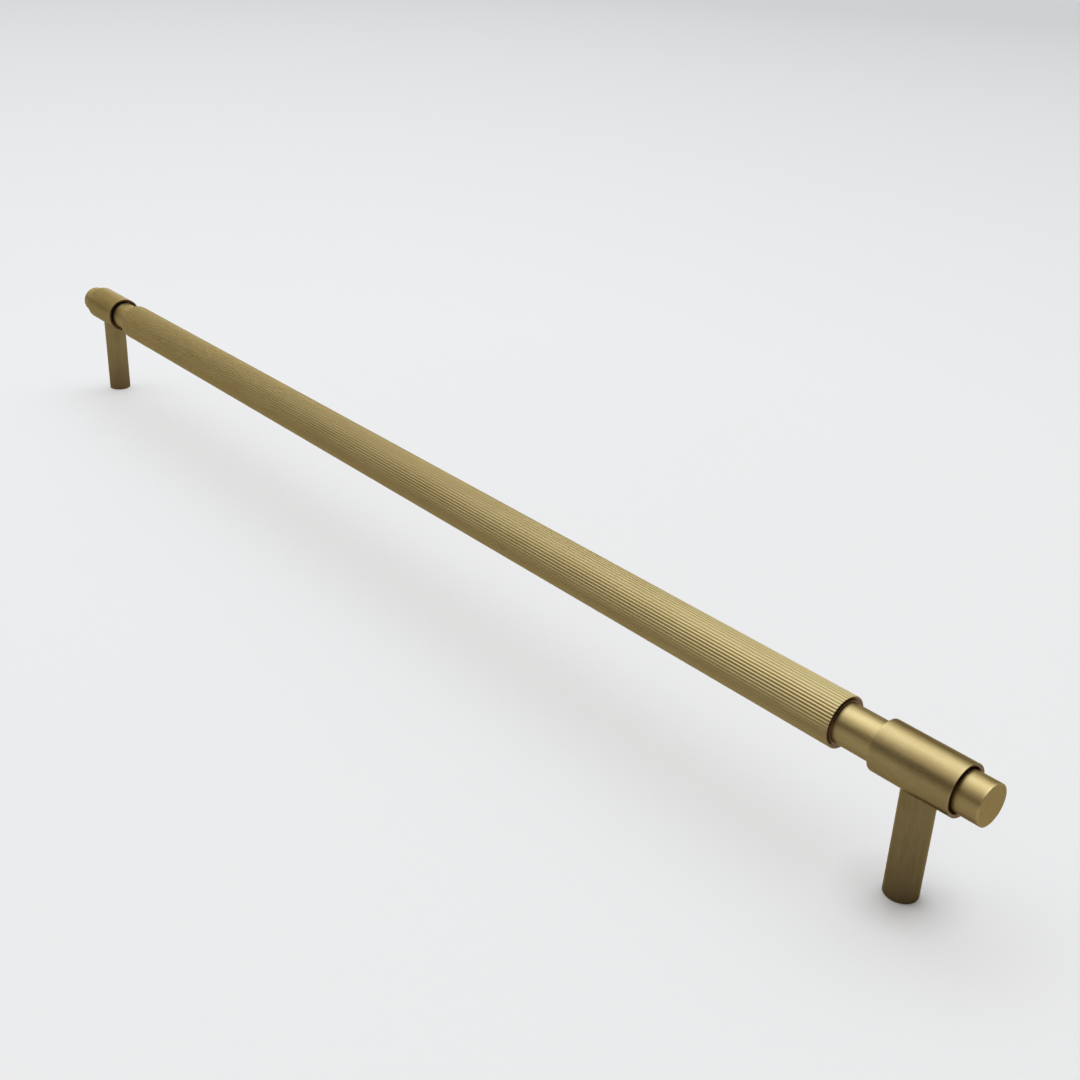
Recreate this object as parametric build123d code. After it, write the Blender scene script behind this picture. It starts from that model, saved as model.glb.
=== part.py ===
from build123d import *
import math
import os

# Bar pull, in millimetres. X runs along the bar, Z is up from the face that it is screwed to,
# and the origin is midway between the two feet on that face.

# Layout along the bar
hole_centres = 384.0      # from foot to foot
bar_height = 33.0         # rod's axis above the mounting face
collar_length = 20.0
bare_rod = 10.5           # rod that shows between the sleeve and each collar
rod_stub = 6.0            # rod that shows outside each collar

# Sections
rod_diameter = 10.0
collar_step = 1.3         # collar's outside above the rod's
sleeve_step = 1.4         # lands between the flutes above the rod
post_diameter = 8.0

# Flutes of the grip
flute_count = 53
flute_depth = 0.13
flute_cutter = 0.42       # radius of the cutter, which leaves the flutes round-bottomed

# Shadow gap round the rod: every end of a tube is dished, and a collar's ends are recessed as well
mouth_angle = 20.0        # of the dish, from a flat end
end_rim = 0.2             # from the outside of a tube to the edge of its dish
recess_width = 0.5
recess_depth = 2.0

# Edge breaks
rod_edge = 0.15
collar_edge = 0.1
sleeve_edge = 0.1
post_edge = 0.2

# Fits
slip_gap = 0.03           # between the rod and the bores of the tubes
saddle_gap = 0.02         # between a post's top and its collar
thread_gap = 0.05         # between a stud and its tapped holes
end_gap = 0.8             # past each end of a stud, to the end of its hole

# M4 threads, drawn plain
thread_diameter = 4.0
tap_drill = 3.3
foot_thread_depth = 12.0
drill_point_angle = 118.0

# Studs
stud_length = 14.0
stud_in_rod = 5.5
stud_edge = 0.4
socket_across_flats = 2.0
socket_depth = 2.5

# Sizes that follow
rod_radius = rod_diameter / 2
collar_radius = rod_radius + collar_step
sleeve_radius = rod_radius + sleeve_step
post_radius = post_diameter / 2
bore_radius = rod_radius + slip_gap
recess_radius = rod_radius + recess_width
stud_radius = thread_diameter / 2
stud_hole_radius = stud_radius + thread_gap
foot_hole_radius = tap_drill / 2

foot_spacing = hole_centres / 2
sleeve_length = hole_centres - collar_length - 2 * bare_rod
rod_length = hole_centres + collar_length + 2 * rod_stub

rod_underside = bar_height - rod_radius
stud_top = rod_underside + stud_in_rod
stud_foot = stud_top - stud_length

base_centre = (Align.CENTER, Align.CENTER, Align.MIN)


def along_bar(shape, place=0.0):
    """The shape, drawn upright round Z, laid on the bar's axis at a place along it."""
    return Pos(place, 0, bar_height) * Rot(0, 90, 0) * shape


def upright(radius, low, high):
    """A round bar standing on the origin's axis between two heights."""
    return Pos(0, 0, low) * Cylinder(radius, high - low, align=base_centre)


def rims(shape, radius):
    """The outer circles at both ends of a turned piece."""
    return [edge for edge in shape.edges().filter_by(GeomType.CIRCLE) if abs(edge.radius - radius) < 0.001]


def drill_point(radius, angle):
    """The cone that a drill leaves past the end of a blind hole, point up."""
    height = radius / math.tan(math.radians(angle / 2))
    return Cone(radius, 0, height, align=base_centre)


def stud_hole():
    """The tapped hole that one stud fills, from inside the post to inside the rod."""
    return upright(stud_hole_radius, stud_foot - end_gap, stud_top + end_gap)


def both_ends(shape, low_end, high_end):
    """Copies of a cut at both ends of a tube that stands round Z, the upper one turned over."""
    return [Pos(0, 0, low_end) * shape, Pos(0, 0, high_end) * Rot(180, 0, 0) * shape]


def mouth(outside, inside):
    """The shallow cone that is cut from a tube's end, from near its outside to the edge of its opening."""
    wide = outside - end_rim
    depth = (wide - inside) * math.tan(math.radians(mouth_angle))
    return Cone(wide, inside, depth, align=base_centre)


def make_rod():
    rod = Cylinder(rod_radius, rod_length)
    rod = along_bar(chamfer(rims(rod, rod_radius), rod_edge))
    for side in (-1, 1):
        rod -= Pos(side * foot_spacing, 0, 0) * stud_hole()
    return rod


def make_sleeve():
    # The outline is a circle with round nicks, whose cutters stand outside it but for the flutes' depth
    cutter_circle = sleeve_radius + flute_cutter - flute_depth
    outline = Circle(sleeve_radius) - PolarLocations(cutter_circle, flute_count) * Circle(flute_cutter)
    sleeve = Pos(0, 0, -sleeve_length / 2) * extrude(outline, sleeve_length)
    sleeve -= Cylinder(bore_radius, sleeve_length)
    sleeve -= both_ends(mouth(sleeve_radius, bore_radius), -sleeve_length / 2, sleeve_length / 2)
    # The lands run out on a bevel at each end, left by a ring with a sloping inside
    ring = Cylinder(2 * sleeve_radius, sleeve_edge, align=base_centre)
    ring -= Cone(sleeve_radius - sleeve_edge, sleeve_radius, sleeve_edge, align=base_centre)
    sleeve -= both_ends(ring, -sleeve_length / 2, sleeve_length / 2)
    return along_bar(sleeve)


def make_collar(side):
    collar = Cylinder(collar_radius, collar_length)
    collar = chamfer(rims(collar, collar_radius), collar_edge)
    collar -= Cylinder(bore_radius, collar_length)
    recess = Cylinder(recess_radius, recess_depth, align=base_centre)
    for cut in (recess, mouth(collar_radius, recess_radius)):
        collar -= both_ends(cut, -collar_length / 2, collar_length / 2)
    collar = along_bar(collar, side * foot_spacing)
    return collar - Pos(side * foot_spacing, 0, 0) * upright(stud_hole_radius, 0, bar_height)


def make_post(side):
    post = upright(post_radius, 0, bar_height)
    foot_rim = ShapeList(rims(post, post_radius)).sort_by(Axis.Z)[0]
    post = chamfer(foot_rim, post_edge)
    # The top is coped to sit round the underside of the collar
    post -= along_bar(Cylinder(collar_radius + saddle_gap, 2 * post_diameter))
    post -= stud_hole()
    post -= upright(foot_hole_radius, 0, foot_thread_depth)
    post -= Pos(0, 0, foot_thread_depth) * drill_point(foot_hole_radius, drill_point_angle)
    return Pos(side * foot_spacing, 0, 0) * post


def make_stud(side):
    stud = upright(stud_radius, stud_foot, stud_top)
    stud = chamfer(rims(stud, stud_radius), stud_edge)
    # The key goes in at the lower end, before the post is screwed on
    socket = extrude(RegularPolygon(socket_across_flats / 2, 6, major_radius=False), socket_depth)
    stud -= Pos(0, 0, stud_foot) * socket
    return Pos(side * foot_spacing, 0, 0) * stud


nodes = {
    "core_rod": make_rod(),
    "grip_sleeve": make_sleeve(),
}
for name, side in (("left", -1), ("right", 1)):
    nodes["collar_" + name] = make_collar(side)
    nodes["post_" + name] = make_post(side)
    nodes["stud_" + name] = make_stud(side)

os.makedirs("parts", exist_ok=True)
for node, shape in nodes.items():
    export_step(shape, "parts/" + node + ".step")
    print(node, "volume", round(shape.volume, 3), "solids", len(shape.solids()))
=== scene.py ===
import math

import bpy
import numpy as np
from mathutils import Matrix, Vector


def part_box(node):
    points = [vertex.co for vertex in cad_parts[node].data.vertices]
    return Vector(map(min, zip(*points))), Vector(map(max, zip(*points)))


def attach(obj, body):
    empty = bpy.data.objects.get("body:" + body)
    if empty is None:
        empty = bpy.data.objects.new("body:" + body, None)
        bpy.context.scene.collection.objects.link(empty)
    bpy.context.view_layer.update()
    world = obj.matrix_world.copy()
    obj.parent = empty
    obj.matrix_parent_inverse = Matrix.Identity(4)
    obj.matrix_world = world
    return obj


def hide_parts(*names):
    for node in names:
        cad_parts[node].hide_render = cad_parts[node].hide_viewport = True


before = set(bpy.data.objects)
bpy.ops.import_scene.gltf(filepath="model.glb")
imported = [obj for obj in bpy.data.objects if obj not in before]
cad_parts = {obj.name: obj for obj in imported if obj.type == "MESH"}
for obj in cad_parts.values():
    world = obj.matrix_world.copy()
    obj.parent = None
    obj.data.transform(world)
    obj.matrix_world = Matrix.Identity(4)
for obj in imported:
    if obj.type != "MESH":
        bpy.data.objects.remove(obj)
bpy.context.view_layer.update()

mm = 0.001
same = 1e-9  # radii closer than this are the same


# Sizes read from the frame, in metres

rodLow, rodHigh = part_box("core_rod")
gripLow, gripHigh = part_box("grip_sleeve")
barHeight = (rodLow.z + rodHigh.z) / 2  # the bar's axis above the floor
rodRadius = (rodHigh.z - rodLow.z) / 2
gripRadius = (gripHigh.y - gripLow.y) / 2  # over the tops of the flutes
sides = ("left", "right")
length = round((rodHigh.x - rodLow.x) / mm, 1)
print("frame read: bar", length, "mm long, its axis", round(barHeight / mm, 1), "mm up")


# Surfaces as grids of points, each row a ring

sharpAngle = math.radians(32)  # edges that turn by more than this stay crisp


def ringAngles(count):  # evenly spaced, the last one short of a full turn
    return np.linspace(0, 2 * math.pi, count, endpoint=False)


# Round the bar: x stays, y = r sin a, z = bar height + r cos a, so a = 0 is the top
def aboutBar(x, r, a):
    x, r, a = np.broadcast_arrays(x, r, a)
    return np.stack((x, r * np.sin(a), barHeight + r * np.cos(a)), -1)


# Round an upright: x = foot + r cos a, y = r sin a, z stays
def aboutUpright(foot, z, r, a):
    z, r, a = np.broadcast_arrays(z, r, a)
    return np.stack((foot + r * np.cos(a), r * np.sin(a), z), -1)


# Softens the corners of an outline. Each corner P between A and C, both at its rounding's reach, becomes
# the parabola (1-s)(1-s)A + 2s(1-s)P + ssC, with one more point just outside each end to hold the flats
def softCorners(corners, reach, steps=5, hold=0.04 * mm, loop=False):
    corners = np.array(corners, float)
    middle = corners if loop else corners[1:-1]
    before = np.roll(corners, 1, 0) if loop else corners[:-2]
    after = np.roll(corners, -1, 0) if loop else corners[2:]
    reach = np.broadcast_to(np.array(reach, float), len(middle))[:, None]
    towardsBefore = (before - middle) / np.linalg.norm(before - middle, axis=1, keepdims=True)
    towardsAfter = (after - middle) / np.linalg.norm(after - middle, axis=1, keepdims=True)
    start = (middle + towardsBefore * reach)[:, None]
    end = (middle + towardsAfter * reach)[:, None]
    s = np.linspace(0, 1, steps)[None, :, None]
    curve = (1 - s) ** 2 * start + 2 * s * (1 - s) * middle[:, None] + s**2 * end
    holdBefore = start + towardsBefore[:, None] * hold
    holdAfter = end + towardsAfter[:, None] * hold
    points = np.concatenate((holdBefore, curve, holdAfter), 1).reshape(-1, 2)
    return points if loop else np.concatenate((corners[:1], points, corners[-1:]))


# Adds rings at some places along the straight outside of an outline, in order with those that are there
def addRings(outline, radius, places):
    outside = np.abs(outline[:, 1] - radius) < same
    start = np.argmax(outside)
    stop = start + outside.sum()
    added = np.stack((places, np.full(len(places), radius)), -1)
    middle = np.concatenate((outline[start:stop], added))
    middle = middle[np.argsort(middle[:, 0], kind="stable")]
    return np.concatenate((outline[:start], middle, outline[stop:]))


def smooth(mesh):
    mesh.shade_smooth()
    mesh.set_sharp_from_angle(angle=sharpAngle)


# A closed skin over a grid. Every point joins the next row and the next column, and the last column joins
# the first. With loop the last row joins the first too, and without it both end rows close on their middles
def closedSkin(name, grid, loop=False):
    rows, columns = grid.shape[:2]
    index = np.arange(rows * columns).reshape(rows, columns)
    low = index if loop else index[:-1]
    high = np.roll(index, -1, 0) if loop else index[1:]
    quads = np.stack((low, np.roll(low, -1, 1), np.roll(high, -1, 1), high), -1).reshape(-1, 4)
    points = grid.reshape(-1, 3)
    fans = np.zeros((0, 3), int)
    if not loop:
        points = np.concatenate((points, grid[[0, -1]].mean(1)))
        ends = np.full(columns, rows * columns)
        firstFan = np.stack((np.roll(index[0], -1), index[0], ends), -1)
        lastFan = np.stack((index[-1], np.roll(index[-1], -1), ends + 1), -1)
        fans = np.concatenate((firstFan, lastFan))
    triangles = np.concatenate((quads[:, [0, 1, 2]], quads[:, [0, 2, 3]], fans))
    a, b, c = points[triangles].transpose(1, 0, 2)
    if (a * np.cross(b, c)).sum() < 0:  # six times the volume: negative when the faces point inwards
        quads, fans = quads[:, ::-1], fans[:, ::-1]
    mesh = bpy.data.meshes.new(name)
    mesh.from_pydata(points.tolist(), [], quads.tolist() + fans.tolist())
    smooth(mesh)
    piece = bpy.data.objects.new(name, mesh)
    bpy.context.scene.collection.objects.link(piece)
    return piece


# Cuts the space of other skins out of a piece, which keeps its name, and deletes them
def cutAway(piece, cutters):
    for cutter in cutters:
        cut = piece.modifiers.new("cut", "BOOLEAN")
        cut.operation = "DIFFERENCE"
        cut.solver = "EXACT"
        cut.object = cutter
    evaluated = piece.evaluated_get(bpy.context.evaluated_depsgraph_get())
    mesh = bpy.data.meshes.new_from_object(evaluated)
    piece.modifiers.clear()
    piece.data = mesh
    smooth(mesh)
    for cutter in cutters:
        bpy.data.objects.remove(cutter)


def standFor(piece, node, material):  # the piece takes the place of a solid
    piece.data.materials.clear()
    piece.data.materials.append(material)
    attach(piece, "root")
    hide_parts(node)


# Shader sums

class Wire:  # a socket's output; each operator adds the Math node that does the sum
    def __init__(self, finish, socket):
        self.finish = finish
        self.socket = socket

    def __add__(self, other):
        return self.finish.sum("ADD", self, other)

    def __radd__(self, other):
        return self.finish.sum("ADD", other, self)

    def __sub__(self, other):
        return self.finish.sum("SUBTRACT", self, other)

    def __rsub__(self, other):
        return self.finish.sum("SUBTRACT", other, self)

    def __mul__(self, other):
        return self.finish.sum("MULTIPLY", self, other)

    def __rmul__(self, other):
        return self.finish.sum("MULTIPLY", other, self)

    def __truediv__(self, other):
        return self.finish.sum("DIVIDE", self, other)

    def __pow__(self, other):
        return self.finish.sum("POWER", self, other)


class Finish:  # the nodes of one material, or of the world
    def __init__(self, owner):
        self.owner = owner
        owner.use_nodes = True
        self.tree = owner.node_tree
        self.tree.nodes.clear()

    def make(self, kind, settings=None, inputs=None):  # settings first, then each input's value or link
        made = self.tree.nodes.new(kind)
        for key, value in (settings or {}).items():
            setattr(made, key, value)
        for key, value in (inputs or {}).items():
            if isinstance(value, Wire):
                self.tree.links.new(value.socket, made.inputs[key])
            else:
                made.inputs[key].default_value = value
        return made

    def node(self, kind, settings=None, inputs=None, output=0):  # the same, for one of its outputs
        return Wire(self, self.make(kind, settings, inputs).outputs[output])

    def sum(self, operation, first, second=0.0):
        return self.node("ShaderNodeMath", {"operation": operation}, {0: first, 1: second})

    def between(self, value, low, high):  # 0 below low, 1 above high, straight between
        inputs = {"Value": value, "From Min": low, "From Max": high}
        return self.node("ShaderNodeMapRange", {"clamp": True}, inputs)

    def blend(self, first, second, share):  # colours
        return self.node("ShaderNodeMix", {"data_type": "RGBA"}, {0: share, 6: first, 7: second}, output=2)

    # Object coordinates in millimetres from a middle, each then times a scale
    def place(self, scale=(1, 1, 1), middle=(0, 0, 0)):
        where = self.node("ShaderNodeTexCoord", output="Object")
        perMetre = [s / mm for s in scale]
        moved = [-m * s for m, s in zip(middle, scale)]
        inputs = {"Vector": where, "Scale": perMetre, "Location": moved}
        return self.node("ShaderNodeMapping", inputs=inputs)

    def parts(self, vector):  # the three numbers of a vector
        split = self.make("ShaderNodeSeparateXYZ", inputs={0: vector})
        return [Wire(self, output) for output in split.outputs]

    def noise(self, vector, detail, roughness=0.5):
        inputs = {"Vector": vector, "Scale": 1.0, "Detail": detail, "Roughness": roughness}
        return self.node("ShaderNodeTexNoise", inputs=inputs)

    # The surface itself. More holds values for any other sockets, by name
    def surface(self, colour, roughness, height, depth, metal=1.0, more=None):
        bump = self.node("ShaderNodeBump", inputs={"Height": height, "Distance": depth, "Strength": 1.0})
        inputs = {"Base Color": colour, "Metallic": metal, "Roughness": roughness, "Normal": bump}
        return self.node("ShaderNodeBsdfPrincipled", inputs={**inputs, **(more or {})})

    def show(self, shader):  # ends the tree and gives the material
        self.make("ShaderNodeOutputMaterial", inputs={"Surface": shader})
        return self.owner


def newFinish(name):
    return Finish(bpy.data.materials.new(name))


# Brass finishes

brass = {
    "body": (0.258, 0.184, 0.070, 1.0),  # satin brass in the light of a pale room
    "warm": (0.236, 0.163, 0.058, 1.0),  # a little redder, in slow drifts
    "bright": (0.375, 0.295, 0.135, 1.0),  # paler tone: the grain's bright streaks, and painted highlights
    "shade": (0.085, 0.045, 0.022, 1.0),  # painted shade below the bar, in the posts' holes and towards their feet
    "recess": (0.200, 0.115, 0.062, 1.0),  # painted shade: brown in the dished ends and gaps round the rod
    "edgeTint": (0.62, 0.52, 0.34, 1.0),  # tone at a glancing angle
    "roughness": 0.36,
    "swing": (0.22, 0.08, 0.05),  # of the roughness, with the fine, the broad and the drifting noise
    "grainDepth": 0.0009 * mm,
    "broadScale": 0.22,  # of the broad noise against the fine
    "driftScale": (0.05, 0.16, 0.16),  # per mm
    "driftFrom": (0.35, 0.7),  # noise where the warm tone starts and is full
    "fineShare": 0.65,  # of the fine noise in the bright streaks, the rest is broad
    "streaksFrom": (0.40, 0.78),
    "streaks": 0.68,
    "recessDull": 0.3,  # how far the gaps are from bare metal
    "underFrom": (-0.85, 0.15),  # height over distance from the axis: full at the first, gone at the second
    "under": 0.35,  # share of shade below the bar
    "coat": 0.2,
    "coatRoughness": 0.28,
}


def scaled(colour, level):  # a paler or darker tone of a colour
    return [channel * level for channel in colour[:3]] + [1.0]


# Satin brass. The grain is a noise drawn out along the brushing and squeezed across it, and slow drifts of
# tone lie over it. Three shares from 0 to 1 mix in the painted shade tone, the pale tone that also paints
# the highlights on edges and the grip's top, and the painted brown shade of the recesses; level makes all
# the tones but the last paler or darker.
# Roughness = base + the sum of (noise - 0.5) times its swing
def satin(finish, grain, paintedShade=0.0, paleAndHighlight=0.0, roughness=brass["roughness"], level=1.0, paintedRecessShade=0.0):
    body, warm, bright, shade = [scaled(brass[name], level) for name in ("body", "warm", "bright", "shade")]
    fine = finish.noise(finish.place(grain), detail=4.0, roughness=0.6)
    broad = finish.noise(finish.place([s * brass["broadScale"] for s in grain]), detail=2.0)
    drift = finish.noise(finish.place(brass["driftScale"]), detail=2.0)
    streaks = fine * brass["fineShare"] + broad * (1 - brass["fineShare"])
    tone = finish.blend(body, warm, finish.between(drift, *brass["driftFrom"]))
    tone = finish.blend(tone, bright, finish.between(streaks, *brass["streaksFrom"]) * brass["streaks"])
    tone = finish.blend(tone, bright, paleAndHighlight)
    tone = finish.blend(tone, shade, paintedShade)
    tone = finish.blend(tone, brass["recess"], paintedRecessShade)
    withFine, withBroad, withDrift = brass["swing"]
    spread = roughness + (fine - 0.5) * withFine + (broad - 0.5) * withBroad + (drift - 0.5) * withDrift
    metal = 1 - paintedRecessShade * brass["recessDull"]
    more = {
        "Specular Tint": brass["edgeTint"],
        "Coat Weight": brass["coat"],
        "Coat Roughness": brass["coatRoughness"],
    }
    return finish.show(finish.surface(tone, spread, fine, brass["grainDepth"], metal, more))


# Where a point is about the bar, in millimetres: its place along the bar, its distance from the axis as the
# root of yy + zz, and its height over that distance, which is 1 on top and -1 below
def aboutAxis(finish):
    x, y, z = finish.parts(finish.place(middle=(0, 0, barHeight / mm)))
    away = (y * y + z * z) ** 0.5
    return x, away, z / away


# Where a point is about an upright, in millimetres: its distance from the axis as the root of xx + yy, and z
def aboutFoot(finish, side):
    x, y, z = finish.parts(finish.place(middle=(footPlace(side) / mm, 0, 0)))
    return (x * x + y * y) ** 0.5, z


def underside(finish, tilt):  # share of shade below the bar
    return (1 - finish.between(tilt, *brass["underFrom"])) * brass["under"]


def fade(finish, value, reach):  # 1 below the first number of the reach, 0 above the second
    return 1 - finish.between(value, *reach)


# The rod: a bar turned about its axis, with flat faced ends

rod = {
    "around": 160,
    "edge": 0.15 * mm,
    "faceMiddle": 0.4 * mm,  # radius of the innermost ring of an end
    "footRings": (4 * mm, 9),  # reach and number of the rings that are added over each stud
    "longRings": (170, 18),  # the same over the bar's whole length, in millimetres
    "grain": (0.35, 5.0, 5.0),  # per mm: brushed along the bar
    "edgeHighlightIn": (0.55, 0.15),  # mm in from the outside where the painted edge highlight starts and is full
    "edgeHighlightAlong": (0.1, 0.75),  # mm from an end where it is full and gone
    "paleAndHighlight": 0.5,
    "faceEnds": (0.0, 0.05),  # mm from an end
    "roughness": 0.41,
    "level": 1.17,
}


def rodFinish():
    finish = newFinish("satinBrassRod")
    x, away, tilt = aboutAxis(finish)
    fromEnd = rodHigh.x / mm - finish.sum("ABSOLUTE", x)
    # painted highlight along the rounded edges of the ends
    start, full = rod["edgeHighlightIn"]
    rim = finish.between(away, rodRadius / mm - start, rodRadius / mm - full)
    edge = rim * fade(finish, fromEnd, rod["edgeHighlightAlong"])
    face = fade(finish, fromEnd, rod["faceEnds"])
    # painted shade below the bar, kept off the end faces
    paintedShade = underside(finish, tilt) * (1 - face)
    return satin(finish, rod["grain"], paintedShade, edge * rod["paleAndHighlight"], rod["roughness"], rod["level"])


def footRings(places):  # places of the rings that are added over studs
    reach, count = rod["footRings"]
    steps = np.linspace(-reach, reach, count)
    return (np.array(places)[:, None] + steps[None, :]).reshape(-1)


def makeRod():
    end, inner = rodHigh.x, rod["faceMiddle"]
    corners = [(-end, inner), (-end, rodRadius), (end, rodRadius), (end, inner)]
    outline = softCorners(corners, rod["edge"])
    reach, count = rod["longRings"]
    overFeet = footRings([footPlace(side) for side in sides])
    places = np.concatenate((overFeet, np.linspace(-reach, reach, count) * mm))
    outline = addRings(outline, rodRadius, places)
    piece = closedSkin("Rod", aboutBar(outline[:, :1], outline[:, 1:], ringAngles(rod["around"])))
    cutAway(piece, [studSpace(side) for side in sides])
    standFor(piece, "core_rod", rodFinish())


# Section of a tube, from the bore over one end, along the outside and back. Each end is dished by a slope
# from a rim under its outside down to an opening round the rod. There follows a recess or, where its depth
# is negative, a lip that stands out round the rod

tube = {
    "slip": 0.03 * mm,  # between rod and bore
    "rim": 0.2 * mm,  # from a tube's outside to the edge of its dish
    "mouthAngle": 20.0,  # of the dish, from a flat end
    "softEdge": 0.03 * mm,  # of all edges but the outer ones
    "hold": 0.01 * mm,
}


def tubeOutline(x, r, reach, opening):
    bore = rodRadius + tube["slip"]
    width, inwards = opening
    mouth = rodRadius + width
    rim = r - tube["rim"]
    slope = (rim - mouth) * math.tan(math.radians(tube["mouthAngle"]))
    end = [(inwards, bore), (inwards, mouth), (slope, mouth), (0.0, rim)]
    low = [(x[0] + d, q) for d, q in end] + [(x[0], r)]
    high = [(x[1], r)] + [(x[1] - d, q) for d, q in end[::-1]]
    small = [tube["softEdge"]] * len(end)
    return softCorners(low + high, small + [reach, reach] + small, hold=tube["hold"], loop=True)


# The grip: a tube with straight flutes cut along it

grip = {
    "flutes": 53,
    "fluteDepth": 0.13 * mm,
    "fluteRadius": 0.42 * mm,  # of the round cutter that leaves each flute
    "fluteSteps": (0, 0.2, 0.4, 0.6, 0.8, 0.92, 1.0),  # from the middle of a flute to its edge
    "landStep": 0.02,  # of a pitch, past that edge
    "edge": 0.08 * mm,
    "opening": (0.45 * mm, -0.25 * mm),  # width round the rod and depth: the liner's ends stand out
    "grain": (0.25, 6.0, 6.0),
    "valleyTop": 0.06,  # mm below the lands
    "recessShadeEnds": (0.35, 0.16),  # mm in from the outside where the painted brown shade of the dish and gap is full and gone
    "topHighlightFrom": (0.6, 0.95),  # height over distance from the axis where the painted highlight on the upper side starts and is full
    "topHighlightShare": 0.12,
    "topHighlightValleys": 0.35,
    "paleAndHighlight": 0.15,  # all round
    "level": 1.04,
}


# Depth of the flutes at an angle: with c the cutter's radius and d the distance from the flute's middle,
# depth - c + the root of cc - dd, never below zero
def fluteCut(a):
    pitch = 2 * math.pi * gripRadius / grip["flutes"]
    turn = a / (2 * math.pi) * grip["flutes"]
    away = np.minimum(np.abs(turn - np.round(turn)) * pitch, grip["fluteRadius"])
    cut = grip["fluteDepth"] - grip["fluteRadius"] + np.sqrt(grip["fluteRadius"] ** 2 - away**2)
    return np.maximum(cut, 0)


# Closer together where a flute meets its lands. Half a flute is the root of 2 c depth - depth depth
def fluteAngles():
    pitch = 2 * math.pi * gripRadius / grip["flutes"]
    half = math.sqrt(2 * grip["fluteRadius"] * grip["fluteDepth"] - grip["fluteDepth"] ** 2) / pitch
    steps = np.concatenate((np.array(grip["fluteSteps"]) * half, [half + grip["landStep"]]))
    steps = np.concatenate((steps, 1 - steps[:0:-1]))
    return ((np.arange(grip["flutes"])[:, None] + steps) / grip["flutes"] * 2 * math.pi).reshape(-1)


def gripFinish():
    finish = newFinish("satinBrassFlutes")
    x, away, tilt = aboutAxis(finish)
    outside = gripRadius / mm
    full, gone = grip["recessShadeEnds"]
    valley = fade(finish, away, ((gripRadius - grip["fluteDepth"]) / mm, outside - grip["valleyTop"]))
    # painted shade: brown in the dished ends and the gap round the rod
    paintedRecessShade = fade(finish, away, (outside - full, outside - gone))
    # painted highlight on the upper side, more in the valleys
    paintedTopHighlight = finish.between(tilt, *grip["topHighlightFrom"])
    paleAndHighlight = paintedTopHighlight * (valley * grip["topHighlightValleys"] + grip["topHighlightShare"]) + grip["paleAndHighlight"]
    return satin(finish, grip["grain"], paleAndHighlight=paleAndHighlight, level=grip["level"], paintedRecessShade=paintedRecessShade)


def makeGrip():
    outline = tubeOutline((gripLow.x, gripHigh.x), gripRadius, grip["edge"], grip["opening"])
    a = fluteAngles()
    r = np.minimum(outline[:, 1:], gripRadius - fluteCut(a)[None, :])
    piece = closedSkin("Grip", aboutBar(outline[:, :1], r, a), loop=True)
    standFor(piece, "grip_sleeve", gripFinish())


# Collars: smooth tubes on the rod

collar = {
    "around": 192,
    "edge": 0.08 * mm,
    "opening": (0.5 * mm, 2.0 * mm),  # width round the rod and depth of the recess
    "grain": (0.45, 4.5, 4.5),
    "recessShadeEnds": (0.26, 0.06),  # mm in from the outside where the painted brown shade of the dish and gap is full and gone
    "edgeHighlightIn": (0.5, 0.1),  # mm in from the outside where the painted edge highlight starts and is full
    "edgeHighlightAlong": (0.15, 0.7),  # mm from an end where it is full and gone
    "paleAndHighlight": 0.2,
    "level": 0.97,
}


def collarFinish(side):
    low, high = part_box("collar_" + side)
    finish = newFinish("satinBrassCollar_" + side)
    x, away, tilt = aboutAxis(finish)
    radius = (high.y - low.y) / 2 / mm
    fromEnd = (high.x - low.x) / 2 / mm - finish.sum("ABSOLUTE", x - (low.x + high.x) / 2 / mm)
    full, gone = collar["recessShadeEnds"]
    # painted shade: brown in the dished ends and the gap round the rod
    paintedRecessShade = fade(finish, away, (radius - full, radius - gone))
    # painted highlight along the rounded edges of the ends
    start, full = collar["edgeHighlightIn"]
    rim = finish.between(away, radius - start, radius - full)
    edge = fade(finish, fromEnd, collar["edgeHighlightAlong"]) * rim
    # painted shade below the bar
    paintedShade = underside(finish, tilt)
    return satin(finish, collar["grain"], paintedShade, edge * collar["paleAndHighlight"], level=collar["level"], paintedRecessShade=paintedRecessShade)


def makeCollar(side):
    low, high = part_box("collar_" + side)
    radius = (high.y - low.y) / 2
    outline = tubeOutline((low.x, high.x), radius, collar["edge"], collar["opening"])
    outline = addRings(outline, radius, footRings([footPlace(side)]))
    a = ringAngles(collar["around"])
    piece = closedSkin("Collar_" + side, aboutBar(outline[:, :1], outline[:, 1:], a), loop=True)
    cutAway(piece, [studSpace(side)])
    standFor(piece, "collar_" + side, collarFinish(side))


# Posts: round uprights, coped at the top to the collar and tapped at both ends

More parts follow.
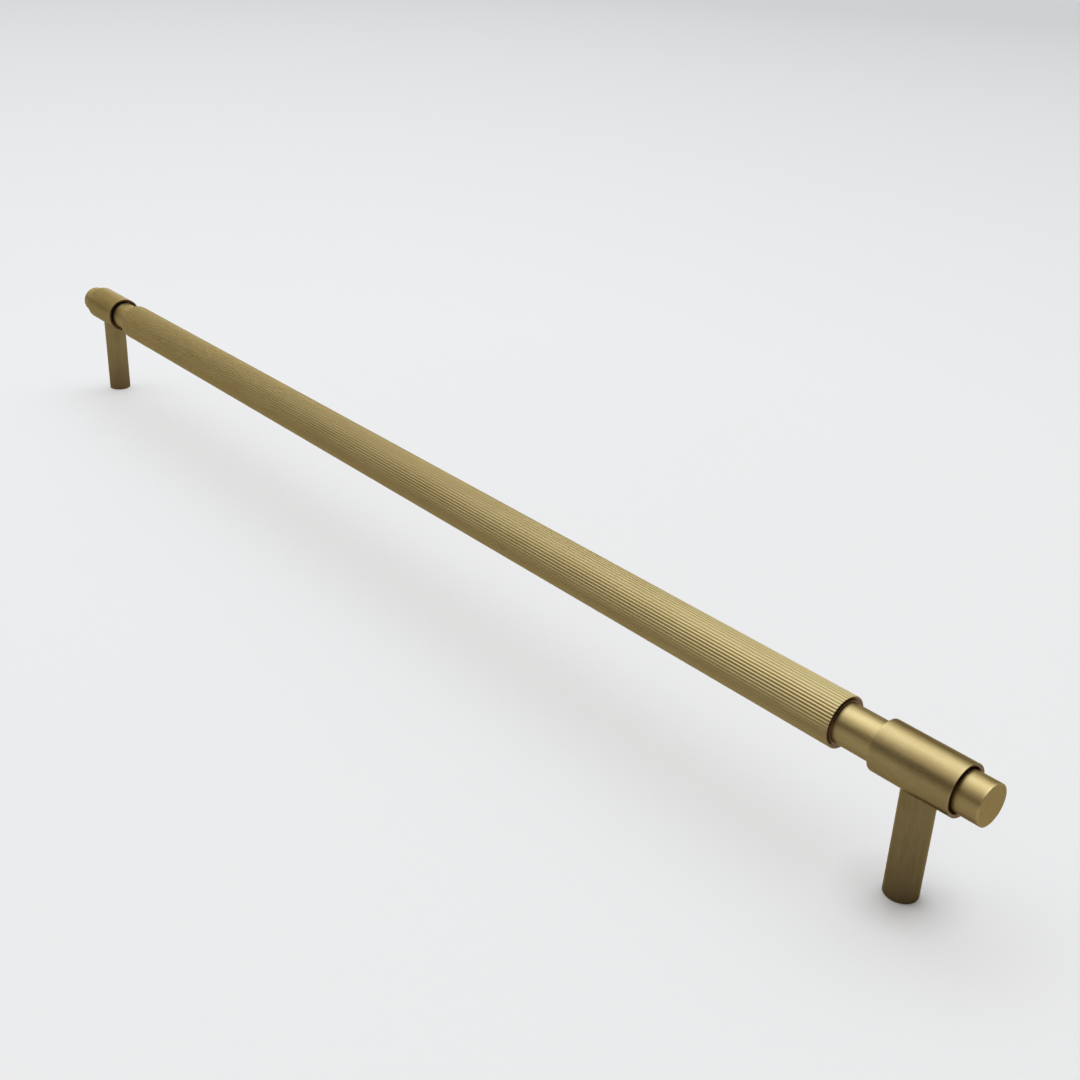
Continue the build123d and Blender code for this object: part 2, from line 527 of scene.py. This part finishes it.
post = {
    "around": 96,
    "saddleRings": 7,
    "wallRings": (0.97, 0.03, 12),  # shares of the height at the first and last ring, and their number
    "threadRings": 8,  # to a pitch
    "footEdge": 0.2 * mm,
    "saddleGap": 0.02 * mm,
    "thread": (0.35 * mm, 0.7 * mm),  # depth and pitch
    "footHole": (1.65 * mm, 12.0 * mm),  # radius and depth
    "drillPoint": 118.0,
    "studGap": 0.05 * mm,
    "endGap": 0.8 * mm,
    "studHoleAround": 48,
    "holeMiddle": 0.3 * mm,  # radius of the innermost ring in the stud's hole
    "holeCrease": 0.02 * mm,  # from the hole's wall to the ring before its corner
    "saddleStart": (0.05 * mm, 0.4 * mm),  # from the stud's hole to the saddle's next two rings
    "saddleStop": 0.06 * mm,  # from the wall to the saddle's last ring
    "lipDrop": 0.08 * mm,
    "footFlat": 1.0 * mm,  # of the wall, where the foot's rounding is laid out
    "firstTurn": 1.5,  # how much deeper the thread starts
    "tip": (0.9, 0.1),  # shares of the drill point's height and radius at the last ring
    "grain": (4.0, 4.0, 0.35),  # per mm: brushed up and down
    "holeEnds": (2.1, 2.6),  # mm from the axis where the shade of the holes is full and gone
    "holeShade": 0.6,
    "footEnds": (0.0, 18.0),  # mm up where the shade towards the foot is full and gone
    "footShade": 0.6,
    "footHighlightUp": (0.1, 0.6),  # mm up where the painted highlight on the foot's edge is full and gone
    "footHighlightOut": (3.6, 3.95),  # mm from the axis where it starts and is full
    "paleAndHighlight": 0.25,
    "level": {"left": 0.80, "right": 0.65},  # painted shade: the posts' tone against the bar's, the right one darker
}


def footPlace(side):
    low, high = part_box("post_" + side)
    return (low.x + high.x) / 2


# A screw thread: how far it stands in from 0 to 1, a triangle wave of height over pitch minus turn
def threadWave(z, a):
    turn = z / post["thread"][1] - a / (2 * math.pi)
    return 1 - 2 * np.abs(turn - np.floor(turn) - 0.5)


def studSpace(side):  # the plain hole that a stud fills
    low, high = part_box("stud_" + side)
    radius = (high.x - low.x) / 2 + post["studGap"]
    z = np.array([low.z - post["endGap"], high.z + post["endGap"]])[:, None]
    a = ringAngles(post["studHoleAround"])
    return closedSkin("space", aboutUpright(footPlace(side), z, radius, a))


def postFinish(side):
    finish = newFinish("satinBrassPost_" + side)
    away, z = aboutFoot(finish, side)
    hole = fade(finish, away, post["holeEnds"]) * post["holeShade"]
    foot = fade(finish, z, post["footEnds"]) * post["footShade"]
    # painted highlight on the foot's rounded edge
    edge = fade(finish, z, post["footHighlightUp"]) * finish.between(away, *post["footHighlightOut"])
    # painted shade in the holes and towards the foot
    paintedShade = finish.sum("MAXIMUM", hole, foot)
    return satin(finish, post["grain"], paintedShade, edge * post["paleAndHighlight"], level=post["level"][side])


# The post's whole skin as rings, from the middle of the stud's hole out over the saddle, down the wall and
# up the foot's hole. On the saddle z = bar height minus the root of the collar's rr minus yy
def makePost(side):
    low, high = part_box("post_" + side)
    collarLow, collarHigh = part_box("collar_" + side)
    studLow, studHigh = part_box("stud_" + side)
    foot, radius = footPlace(side), (high.x - low.x) / 2
    saddle = (collarHigh.y - collarLow.y) / 2 + post["saddleGap"]
    studHole = (studHigh.x - studLow.x) / 2 + post["studGap"]
    holeRadius, holeDepth = post["footHole"]
    depth, pitch = post["thread"]
    a = ringAngles(post["around"])[None, :]

    bottom = studLow.z - post["endGap"]
    floorRadii = np.array([post["holeMiddle"], studHole - post["holeCrease"], studHole])[:, None]
    floor = aboutUpright(foot, bottom, floorRadii, a)

    # The saddle's last ring stands just inside the wall, and a lip just below it turns onto the wall
    first, second = post["saddleStart"]
    spread = np.linspace(studHole + second, radius, post["saddleRings"])
    topRadii = np.concatenate(([studHole, studHole + first], spread))[:, None]
    edge = radius - post["saddleStop"]
    topHeight = barHeight - np.sqrt(saddle**2 - (np.minimum(topRadii, radius) * np.sin(a)) ** 2)
    top = aboutUpright(foot, topHeight, np.where(topRadii > edge, edge, topRadii), a)
    lip = aboutUpright(foot, topHeight[-1:] - post["lipDrop"], radius, a)

    share = np.linspace(*post["wallRings"])[:, None]
    wallHeight = post["footEdge"] + (topHeight[-1:] - post["footEdge"]) * share
    wall = aboutUpright(foot, wallHeight, radius, a)
    rim = softCorners([(post["footFlat"], radius), (0, radius), (0, holeRadius)], post["footEdge"])
    rim = aboutUpright(foot, rim[1:-1, :1], rim[1:-1, 1:], a)

    # The thread's depth fades over its last pitch, and its first turn is cut deeper
    z = np.arange(0.0, holeDepth, pitch / post["threadRings"])[:, None]
    deeper = np.clip(post["firstTurn"] - z / pitch, 1, post["firstTurn"])
    runOut = np.clip((holeDepth - z) / pitch, 0, 1) * deeper
    bore = holeRadius + depth * np.clip(threadWave(z, a) * runOut, 0, 1)
    bore = aboutUpright(foot, z, bore, a)
    point = holeRadius / math.tan(math.radians(post["drillPoint"] / 2))
    up, out = post["tip"]
    tip = np.array([(holeDepth, holeRadius), (holeDepth + point * up, holeRadius * out)])
    tip = aboutUpright(foot, tip[:, :1], tip[:, 1:], a)

    piece = closedSkin("Post_" + side, np.concatenate((floor, top, lip, wall, rim, bore, tip)))
    standFor(piece, "post_" + side, postFinish(side))


# Studs: headless set screws with a thread and a key socket

stud = {
    "around": 72,
    "threadRings": 10,  # to a pitch
    "edge": 0.4 * mm,
    "acrossFlats": 2.0 * mm,
    "socketDepth": 2.5 * mm,
    "socketEdge": 0.1 * mm,
    "topMiddle": 0.5 * mm,  # radius of the innermost ring of the top
    "floorMiddle": 0.3,  # share of the socket's radius at the innermost ring of its floor
    "steel": (0.20, 0.20, 0.19, 1.0),
    "crest": (0.46, 0.46, 0.44, 1.0),
    "plating": (0.42, 0.38, 0.26, 1.0),  # yellowish, in patches
    "crestFrom": (1.7, 1.98),  # mm from the axis
    "platingFrom": (0.5, 0.9),  # noise where it starts and is full
    "platingShare": 0.3,
    "grain": (3, 3, 3),  # per mm
    "grainDepth": 0.001 * mm,
    "roughness": (0.28, 0.16),  # base, and what the noise adds
}


def studFinish(side):
    finish = newFinish("platedSteel_" + side)
    away, z = aboutFoot(finish, side)
    fine = finish.noise(finish.place(stud["grain"]), detail=4.0)
    steel = finish.blend(stud["steel"], stud["crest"], finish.between(away, *stud["crestFrom"]))
    patches = finish.between(fine, *stud["platingFrom"]) * stud["platingShare"]
    tone = finish.blend(steel, stud["plating"], patches)
    base, swing = stud["roughness"]
    return finish.show(finish.surface(tone, base + fine * swing, fine, stud["grainDepth"]))


# Radius of the key socket at an angle: half the flats over the cosine of the angle from a flat's middle
def socketRadius(a):
    turn = a / (2 * math.pi) * 6
    return stud["acrossFlats"] / 2 / np.cos((turn - np.round(turn)) * math.pi / 3)


# Rings from the socket's floor down its wall, over the lower end, up the thread and over the top. The
# thread's radius = outside minus depth times (1 - wave), and never more than the edge's slope at an end
def makeStud(side):
    low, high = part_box("stud_" + side)
    foot, radius = footPlace(side), (high.x - low.x) / 2
    depth, pitch = post["thread"]
    a = ringAngles(stud["around"])[None, :]
    step = pitch / stud["threadRings"]
    z = np.minimum(np.arange(low.z, high.z + step / 2, step)[:, None], high.z)
    fromEnd = np.minimum(z - low.z, high.z - z)
    thread = radius - depth * (1 - threadWave(z, a))
    body = np.minimum(thread, radius - stud["edge"] + np.minimum(fromEnd, stud["edge"]))
    socket = socketRadius(a)
    socketFloor = low.z + stud["socketDepth"]
    rings = (
        aboutUpright(foot, socketFloor, socket * stud["floorMiddle"], a),
        aboutUpright(foot, socketFloor, socket, a),
        aboutUpright(foot, low.z + stud["socketEdge"], socket, a),
        aboutUpright(foot, low.z, socket + stud["socketEdge"], a),
        aboutUpright(foot, z, body, a),
        aboutUpright(foot, high.z, stud["topMiddle"], a),
    )
    piece = closedSkin("Stud_" + side, np.concatenate(rings))
    standFor(piece, "stud_" + side, studFinish(side))


makeRod()
makeGrip()
print("bar and grip made")
for side in sides:
    makeCollar(side)
    makePost(side)
    makeStud(side)
    print(side, "collar, post and stud made")


# Floor and light

stage = {
    "floorReach": 12.0,
    "floorColour": (0.765, 0.73, 0.685, 1.0),
    "floorFarShade": (0.56, 0.55, 0.53, 1.0),
    "floorRoughness": 0.7,
    "floorGrain": (0.3, 0.3, 0.3),  # per mm
    "floorGrainDepth": 0.001 * mm,
    "floorGlow": 0.5,  # share of the floor's own pale tone in what is seen of it
    "floorTone": (0.885, 0.885, 0.885, 1.0),
    "toneFarShade": (0.60, 0.60, 0.60, 1.0),
    "falloffReach": (0.25, 1.9),  # metres from the object where the painted falloff of the floor's light starts and is full
    "footFades": (-1.0, 12.0),  # mm from a post's wall: nearer, less of its own tone shows
    "footDark": {"left": 0.05, "right": 0.88},
    "horizonLight": (0.61, 0.60, 0.58, 1.0),
    "roomLight": (0.125, 0.10, 0.08, 1.0),
    "horizonFades": (0.0, 0.55),  # height of a direction
    "lampsAway": 9.0,  # metres
    "lampsApart": 1.02,  # each lamp's distance over the one before
    # Degrees round from -Y, degrees above the floor, half angles across and up, radiance, colour
    "lamps": {
        "Softbox": (-113.0, 66.2, 21.4, 10.4, 1.55, (0.74, 1.0, 1.42)),
        "SoftboxWide": (-114.0, 66.2, 40.0, 19.4, 1.42, (0.89, 1.0, 1.12)),
        "SoftboxHalo": (-115.0, 66.2, 61.4, 29.8, 1.31, (0.95, 1.0, 1.06)),
        "StripLow": (-104.0, 12.0, 36.0, 11.8, 1.85, (0.95, 1.0, 1.06)),
    },
}


# A direction from the object, for turn t from -Y towards +X and rise e: (sin t cos e, -cos t cos e, sin e)
def direction(turn, rise):
    turn, rise = math.radians(turn), math.radians(rise)
    return np.array((math.sin(turn) * math.cos(rise), -math.cos(turn) * math.cos(rise), math.sin(rise)))


def aim(thing, place, target=(0, 0, 0)):  # its own -Z looks at the target
    thing.location = Vector(place)
    thing.rotation_euler = (Vector(target) - Vector(place)).to_track_quat("-Z", "Y").to_euler()


# The floor darkens with the distance from the object, the root of xx + yy, as painted falloff. What the
# camera, mirrors and clear things see of it is partly its own pale tone, less so near the feet, so that
# their shadows stay
def floorFinish():
    finish = newFinish("paleFloor")
    fine = finish.noise(finish.place(stage["floorGrain"]), detail=2.0)
    x, y, z = finish.parts(finish.place())
    # painted falloff of the light with the distance from the object
    paintedFalloff = finish.between((x * x + y * y) ** 0.5 * mm, *stage["falloffReach"])
    glow = stage["floorGlow"]
    for side in sides:
        low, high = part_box("post_" + side)
        away, z = aboutFoot(finish, side)
        near = fade(finish, away - (high.x - low.x) / 2 / mm, stage["footFades"])
        glow = (1 - near * stage["footDark"][side]) * glow
    colour = finish.blend(stage["floorColour"], stage["floorFarShade"], paintedFalloff)
    lit = finish.surface(colour, stage["floorRoughness"], fine, stage["floorGrainDepth"], metal=0.0)
    tone = finish.blend(stage["floorTone"], stage["toneFarShade"], paintedFalloff)
    own = finish.node("ShaderNodeEmission", inputs={"Color": tone, "Strength": 1.0})
    rays = finish.make("ShaderNodeLightPath").outputs
    kinds = ("Is Camera Ray", "Is Glossy Ray", "Is Transmission Ray")
    camera, glossy, clear = [Wire(finish, rays[kind]) for kind in kinds]
    seen = finish.sum("MAXIMUM", finish.sum("MAXIMUM", camera, glossy), clear)
    return finish.show(finish.node("ShaderNodeMixShader", inputs={0: seen * glow, 1: lit, 2: own}))


def makeFloor():
    reach = stage["floorReach"]
    x, y = np.meshgrid((-reach, 0.0, reach), (-reach, 0.0, reach))
    points = np.stack((x, y, np.zeros_like(x)), -1).reshape(-1, 3)
    index = np.arange(x.size).reshape(x.shape)
    quads = np.stack((index[:-1, :-1], index[:-1, 1:], index[1:, 1:], index[1:, :-1]), -1).reshape(-1, 4)
    mesh = bpy.data.meshes.new("Floor")
    mesh.from_pydata(points.tolist(), [], quads.tolist())
    mesh.materials.append(floorFinish())
    floor = bpy.data.objects.new("Floor", mesh)
    bpy.context.scene.collection.objects.link(floor)


# Room light by height: the horizon's tone eases into the room's with the square of one minus the height
def makeRoom():
    world = bpy.data.worlds.new("Room")
    bpy.context.scene.world = world
    room = Finish(world)
    x, y, z = room.parts(room.node("ShaderNodeTexCoord", output="Generated"))
    tone = room.blend(stage["roomLight"], stage["horizonLight"], fade(room, z, stage["horizonFades"]) ** 2)
    sky = room.node("ShaderNodeBackground", inputs={"Color": tone, "Strength": 1.0})
    room.make("ShaderNodeOutputWorld", inputs={"Surface": sky})


# Oval lamps, the main ones over each other, so that the light fades outwards from its middle. Each half
# width is the distance times the tangent of its half angle, and power = radiance times pi and the area
def makeLamps():
    far = stage["lampsAway"]
    for name, (turn, rise, across, up, radiance, colour) in stage["lamps"].items():
        halfWidth = far * math.tan(math.radians(across))
        halfHeight = far * math.tan(math.radians(up))
        lamp = bpy.data.lights.new(name, "AREA")
        lamp.shape = "ELLIPSE"
        lamp.size = 2 * halfWidth
        lamp.size_y = 2 * halfHeight
        lamp.energy = radiance * math.pi * math.pi * halfWidth * halfHeight
        lamp.color = colour
        softbox = bpy.data.objects.new(name, lamp)
        softbox.visible_camera = False
        bpy.context.scene.collection.objects.link(softbox)
        aim(softbox, direction(turn, rise) * far)
        far = far * stage["lampsApart"]


# Camera

view = {
    "place": (0.31729, -0.22409, 0.20369),
    "turn": (64.962, -1.5305, 51.012),  # degrees about X, Y and Z
    "lens": 46.265,
    "sensor": 36.0,
    "shift": (0.04713, -0.03822),
    "clip": (0.01, 50.0),
}


def makeCamera():
    lens = bpy.data.cameras.new("Camera")
    lens.lens = view["lens"]
    lens.sensor_width = view["sensor"]
    lens.shift_x, lens.shift_y = view["shift"]
    lens.clip_start, lens.clip_end = view["clip"]
    camera = bpy.data.objects.new("Camera", lens)
    camera.location = view["place"]
    camera.rotation_euler = [math.radians(turn) for turn in view["turn"]]
    bpy.context.scene.collection.objects.link(camera)
    bpy.context.scene.camera = camera


makeFloor()
makeRoom()
makeLamps()
makeCamera()
bpy.context.scene.view_settings.view_transform = "Standard"
print("floor, light and camera made")
